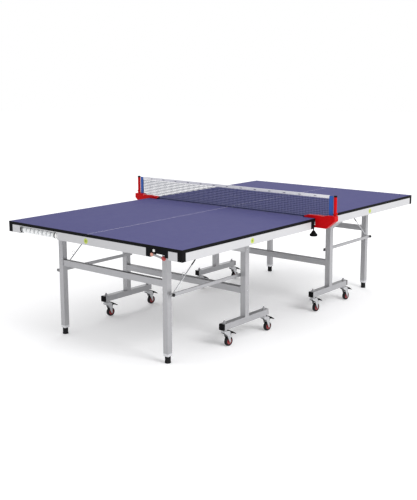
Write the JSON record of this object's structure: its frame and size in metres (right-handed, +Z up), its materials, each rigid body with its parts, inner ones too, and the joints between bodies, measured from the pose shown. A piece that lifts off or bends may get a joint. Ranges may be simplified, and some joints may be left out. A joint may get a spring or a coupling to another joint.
{
  "type": "ping pong table",
  "caption": "Full-size roll-away table tennis table in two folding halves on braked casters, with steel legs, ball store, release levers and a clamp-on net.",
  "frame": {"origin": "on the floor under the middle of the table", "axes": "+X along the table's length, +Y across it along the net, +Z up from the floor to the playing surface"},
  "size_m": [2.74, 1.824, 0.921],
  "materials": {
    "board": "matt roller-coated playing surface",
    "edge_trim": "satin moulded",
    "apron_frame": "silver-white powder coat",
    "ball_tube": "clear tube",
    "balls": "semi-matt celluloid",
    "end_fittings": "satin moulded",
    "release_lever": "zinc bar with red knob",
    "lock_button": "moulded",
    "frame": "silver powder coat",
    "black_plastic": "satin moulded",
    "foot": "moulded",
    "link": "silver powder coat",
    "wire": "zinc plated",
    "fork": "zinc plated",
    "wheel": "black tyre on a red hub",
    "pedal": "moulded",
    "net": "knotted net",
    "net_tape": "woven tape",
    "posts": "red enamel",
    "clamp": "red enamel"
  },
  "bodies": {
    "right_carriage": {"right_carriage_frame": "frame", "right_carriage_caps": "black_plastic"},
    "left_carriage": {"left_carriage_frame": "frame", "left_carriage_caps": "black_plastic"},
    "left_top": {"left_board": "board", "left_edge_trim": "edge_trim", "left_apron_frame": "apron_frame", "left_ball_tube": "ball_tube", "left_balls": "balls", "left_end_fittings": "end_fittings", "net": "net", "net_tape": "net_tape", "net_posts": "posts", "clamp_jaws": "clamp"},
    "left_legs": {"left_leg_frame": "frame"},
    "left_links": {"left_link_bars": "link"},
    "left_struts": {"left_leg_struts": "wire"},
    "left_lever": {"left_release_lever": "release_lever"},
    "left_button": {"left_lock_button": "lock_button"},
    "left_foot_front": {"left_foot_front": "foot"},
    "left_foot_back": {"left_foot_back": "foot"},
    "left_outer_front_swivel": {"left_outer_front_fork": "fork"},
    "left_outer_front_wheel": {"left_outer_front_wheel": "wheel"},
    "left_outer_front_pedal": {"left_outer_front_pedal": "pedal"},
    "left_outer_back_swivel": {"left_outer_back_fork": "fork"},
    "left_outer_back_wheel": {"left_outer_back_wheel": "wheel"},
    "left_outer_back_pedal": {"left_outer_back_pedal": "pedal"},
    "left_inner_front_swivel": {"left_inner_front_fork": "fork"},
    "left_inner_front_wheel": {"left_inner_front_wheel": "wheel"},
    "left_inner_front_pedal": {"left_inner_front_pedal": "pedal"},
    "left_inner_back_swivel": {"left_inner_back_fork": "fork"},
    "left_inner_back_wheel": {"left_inner_back_wheel": "wheel"},
    "left_inner_back_pedal": {"left_inner_back_pedal": "pedal"},
    "right_top": {"right_board": "board", "right_edge_trim": "edge_trim", "right_apron_frame": "apron_frame", "right_ball_tube": "ball_tube", "right_balls": "balls", "right_end_fittings": "end_fittings"},
    "right_legs": {"right_leg_frame": "frame"},
    "right_links": {"right_link_bars": "link"},
    "right_struts": {"right_leg_struts": "wire"},
    "right_lever": {"right_release_lever": "release_lever"},
    "right_button": {"right_lock_button": "lock_button"},
    "right_foot_front": {"right_foot_front": "foot"},
    "right_foot_back": {"right_foot_back": "foot"},
    "right_outer_front_swivel": {"right_outer_front_fork": "fork"},
    "right_outer_front_wheel": {"right_outer_front_wheel": "wheel"},
    "right_outer_front_pedal": {"right_outer_front_pedal": "pedal"},
    "right_outer_back_swivel": {"right_outer_back_fork": "fork"},
    "right_outer_back_wheel": {"right_outer_back_wheel": "wheel"},
    "right_outer_back_pedal": {"right_outer_back_pedal": "pedal"},
    "right_inner_front_swivel": {"right_inner_front_fork": "fork"},
    "right_inner_front_wheel": {"right_inner_front_wheel": "wheel"},
    "right_inner_front_pedal": {"right_inner_front_pedal": "pedal"},
    "right_inner_back_swivel": {"right_inner_back_fork": "fork"},
    "right_inner_back_wheel": {"right_inner_back_wheel": "wheel"},
    "right_inner_back_pedal": {"right_inner_back_pedal": "pedal"},
    "clamp_front": {"clamp_screw_front": "black_plastic"},
    "clamp_back": {"clamp_screw_back": "black_plastic"}
  },
  "joints": [
    {"name": "left_fold", "type": "hinge", "parent": "left_carriage", "child": "left_top", "pos_m": [-0.513, 0, 0.7], "axis": [0, 1, 0], "range_deg": [0, 90]},
    {"name": "left_leg_swing", "type": "hinge", "parent": "left_top", "child": "left_legs", "pos_m": [-1.172, 0, 0.7], "axis": [0, 1, 0], "range_deg": [-90, 0]},
    {"name": "left_link_turn", "type": "hinge", "parent": "left_carriage", "child": "left_links", "pos_m": [-0.513, 0, 0.4275], "axis": [0, 1, 0], "range_deg": [0, 90]},
    {"name": "left_strut_turn", "type": "hinge", "parent": "left_top", "child": "left_struts", "pos_m": [-0.818, 0, 0.712], "axis": [0, 1, 0], "range_deg": [0, 40.36]},
    {"name": "left_release", "type": "hinge", "parent": "left_top", "child": "left_lever", "pos_m": [-1.36, -0.53, 0.706], "axis": [1, 0, 0], "range_deg": [0, 15], "stiffness_Nm_per_rad": 1, "springref_deg": -17.19},
    {"name": "left_button_press", "type": "slide", "parent": "left_top", "child": "left_button", "axis": [1, 0, 0], "range_m": [0, 0.003], "stiffness_N_per_m": 400, "springref_m": -0.003},
    {"name": "left_foot_front_level", "type": "slide", "parent": "left_legs", "child": "left_foot_front", "axis": [0, 0, -1], "range_m": [0, 0.02]},
    {"name": "left_foot_back_level", "type": "slide", "parent": "left_legs", "child": "left_foot_back", "axis": [0, 0, -1], "range_m": [0, 0.02]},
    {"name": "left_outer_front_swivel", "type": "hinge", "parent": "left_carriage", "child": "left_outer_front_swivel", "pos_m": [-0.724, -0.54, 0.1], "axis": [0, 0, 1], "continuous": true},
    {"name": "left_outer_front_roll", "type": "hinge", "parent": "left_outer_front_swivel", "child": "left_outer_front_wheel", "pos_m": [-0.68714, -0.54322, 0.031], "axis": [0.0872, 0.9962, 0], "continuous": true},
    {"name": "left_outer_front_brake", "type": "hinge", "parent": "left_outer_front_swivel", "child": "left_outer_front_pedal", "pos_m": [-0.69411, -0.54261, 0.086], "axis": [0.0872, 0.9962, 0], "range_deg": [0, 12]},
    {"name": "left_outer_back_swivel", "type": "hinge", "parent": "left_carriage", "child": "left_outer_back_swivel", "pos_m": [-0.724, 0.54, 0.1], "axis": [0, 0, 1], "continuous": true},
    {"name": "left_outer_back_roll", "type": "hinge", "parent": "left_outer_back_swivel", "child": "left_outer_back_wheel", "pos_m": [-0.68714, 0.53678, 0.031], "axis": [0.0872, 0.9962, 0], "continuous": true},
    {"name": "left_outer_back_brake", "type": "hinge", "parent": "left_outer_back_swivel", "child": "left_outer_back_pedal", "pos_m": [-0.69411, 0.53739, 0.086], "axis": [0.0872, 0.9962, 0], "range_deg": [0, 12]},
    {"name": "left_inner_front_swivel", "type": "hinge", "parent": "left_carriage", "child": "left_inner_front_swivel", "pos_m": [-0.302, -0.54, 0.1], "axis": [0, 0, 1], "continuous": true},
    {"name": "left_inner_front_roll", "type": "hinge", "parent": "left_inner_front_swivel", "child": "left_inner_front_wheel", "pos_m": [-0.26514, -0.54322, 0.031], "axis": [0.0872, 0.9962, 0], "continuous": true},
    {"name": "left_inner_front_brake", "type": "hinge", "parent": "left_inner_front_swivel", "child": "left_inner_front_pedal", "pos_m": [-0.27211, -0.54261, 0.086], "axis": [0.0872, 0.9962, 0], "range_deg": [0, 12]},
    {"name": "left_inner_back_swivel", "type": "hinge", "parent": "left_carriage", "child": "left_inner_back_swivel", "pos_m": [-0.302, 0.54, 0.1], "axis": [0, 0, 1], "continuous": true},
    {"name": "left_inner_back_roll", "type": "hinge", "parent": "left_inner_back_swivel", "child": "left_inner_back_wheel", "pos_m": [-0.26514, 0.53678, 0.031], "axis": [0.0872, 0.9962, 0], "continuous": true},
    {"name": "left_inner_back_brake", "type": "hinge", "parent": "left_inner_back_swivel", "child": "left_inner_back_pedal", "pos_m": [-0.27211, 0.53739, 0.086], "axis": [0.0872, 0.9962, 0], "range_deg": [0, 12]},
    {"name": "right_fold", "type": "hinge", "parent": "right_carriage", "child": "right_top", "pos_m": [0.513, 0, 0.7], "axis": [0, -1, 0], "range_deg": [0, 90]},
    {"name": "right_leg_swing", "type": "hinge", "parent": "right_top", "child": "right_legs", "pos_m": [1.172, 0, 0.7], "axis": [0, -1, 0], "range_deg": [-90, 0]},
    {"name": "right_link_turn", "type": "hinge", "parent": "right_carriage", "child": "right_links", "pos_m": [0.513, 0, 0.4275], "axis": [0, -1, 0], "range_deg": [0, 90]},
    {"name": "right_strut_turn", "type": "hinge", "parent": "right_top", "child": "right_struts", "pos_m": [0.818, 0, 0.712], "axis": [0, -1, 0], "range_deg": [0, 40.36]},
    {"name": "right_release", "type": "hinge", "parent": "right_top", "child": "right_lever", "pos_m": [1.36, 0.53, 0.706], "axis": [-1, 0, 0], "range_deg": [0, 15], "stiffness_Nm_per_rad": 1, "springref_deg": -17.19},
    {"name": "right_button_press", "type": "slide", "parent": "right_top", "child": "right_button", "axis": [-1, 0, 0], "range_m": [0, 0.003], "stiffness_N_per_m": 400, "springref_m": -0.003},
    {"name": "right_foot_front_level", "type": "slide", "parent": "right_legs", "child": "right_foot_front", "axis": [0, 0, -1], "range_m": [0, 0.02]},
    {"name": "right_foot_back_level", "type": "slide", "parent": "right_legs", "child": "right_foot_back", "axis": [0, 0, -1], "range_m": [0, 0.02]},
    {"name": "right_outer_front_swivel", "type": "hinge", "parent": "right_carriage", "child": "right_outer_front_swivel", "pos_m": [0.724, -0.54, 0.1], "axis": [0, 0, 1], "continuous": true},
    {"name": "right_outer_front_roll", "type": "hinge", "parent": "right_outer_front_swivel", "child": "right_outer_front_wheel", "pos_m": [0.76086, -0.54322, 0.031], "axis": [0.0872, 0.9962, 0], "continuous": true},
    {"name": "right_outer_front_brake", "type": "hinge", "parent": "right_outer_front_swivel", "child": "right_outer_front_pedal", "pos_m": [0.75389, -0.54261, 0.086], "axis": [0.0872, 0.9962, 0], "range_deg": [0, 12]},
    {"name": "right_outer_back_swivel", "type": "hinge", "parent": "right_carriage", "child": "right_outer_back_swivel", "pos_m": [0.724, 0.54, 0.1], "axis": [0, 0, 1], "continuous": true},
    {"name": "right_outer_back_roll", "type": "hinge", "parent": "right_outer_back_swivel", "child": "right_outer_back_wheel", "pos_m": [0.76086, 0.53678, 0.031], "axis": [0.0872, 0.9962, 0], "continuous": true},
    {"name": "right_outer_back_brake", "type": "hinge", "parent": "right_outer_back_swivel", "child": "right_outer_back_pedal", "pos_m": [0.75389, 0.53739, 0.086], "axis": [0.0872, 0.9962, 0], "range_deg": [0, 12]},
    {"name": "right_inner_front_swivel", "type": "hinge", "parent": "right_carriage", "child": "right_inner_front_swivel", "pos_m": [0.302, -0.54, 0.1], "axis": [0, 0, 1], "continuous": true},
    {"name": "right_inner_front_roll", "type": "hinge", "parent": "right_inner_front_swivel", "child": "right_inner_front_wheel", "pos_m": [0.33886, -0.54322, 0.031], "axis": [0.0872, 0.9962, 0], "continuous": true},
    {"name": "right_inner_front_brake", "type": "hinge", "parent": "right_inner_front_swivel", "child": "right_inner_front_pedal", "pos_m": [0.33189, -0.54261, 0.086], "axis": [0.0872, 0.9962, 0], "range_deg": [0, 12]},
    {"name": "right_inner_back_swivel", "type": "hinge", "parent": "right_carriage", "child": "right_inner_back_swivel", "pos_m": [0.302, 0.54, 0.1], "axis": [0, 0, 1], "continuous": true},
    {"name": "right_inner_back_roll", "type": "hinge", "parent": "right_inner_back_swivel", "child": "right_inner_back_wheel", "pos_m": [0.33886, 0.53678, 0.031], "axis": [0.0872, 0.9962, 0], "continuous": true},
    {"name": "right_inner_back_brake", "type": "hinge", "parent": "right_inner_back_swivel", "child": "right_inner_back_pedal", "pos_m": [0.33189, 0.53739, 0.086], "axis": [0.0872, 0.9962, 0], "range_deg": [0, 12]},
    {"name": "clamp_front_loosen", "type": "slide", "parent": "left_top", "child": "clamp_front", "axis": [0, 0, -1], "range_m": [0, 0.02]},
    {"name": "clamp_back_loosen", "type": "slide", "parent": "left_top", "child": "clamp_back", "axis": [0, 0, -1], "range_m": [0, 0.02]},
    {"name": "left_roll", "type": "slide", "parent": "right_carriage", "child": "left_carriage", "axis": [-1, 0, 0], "range_m": [0, 0.63]}
  ],
  "couplings": [
    {"joint": "left_leg_swing", "follows": "left_fold", "ratio": -1},
    {"joint": "left_link_turn", "follows": "left_fold", "ratio": 1},
    {"joint": "left_strut_turn", "follows": "left_fold", "ratio": 0.44838},
    {"joint": "right_leg_swing", "follows": "right_fold", "ratio": -1},
    {"joint": "right_link_turn", "follows": "right_fold", "ratio": 1},
    {"joint": "right_strut_turn", "follows": "right_fold", "ratio": 0.44838},
    {"joint": "left_roll", "follows": "left_fold", "m_per_rad": 0.4}
  ]
}
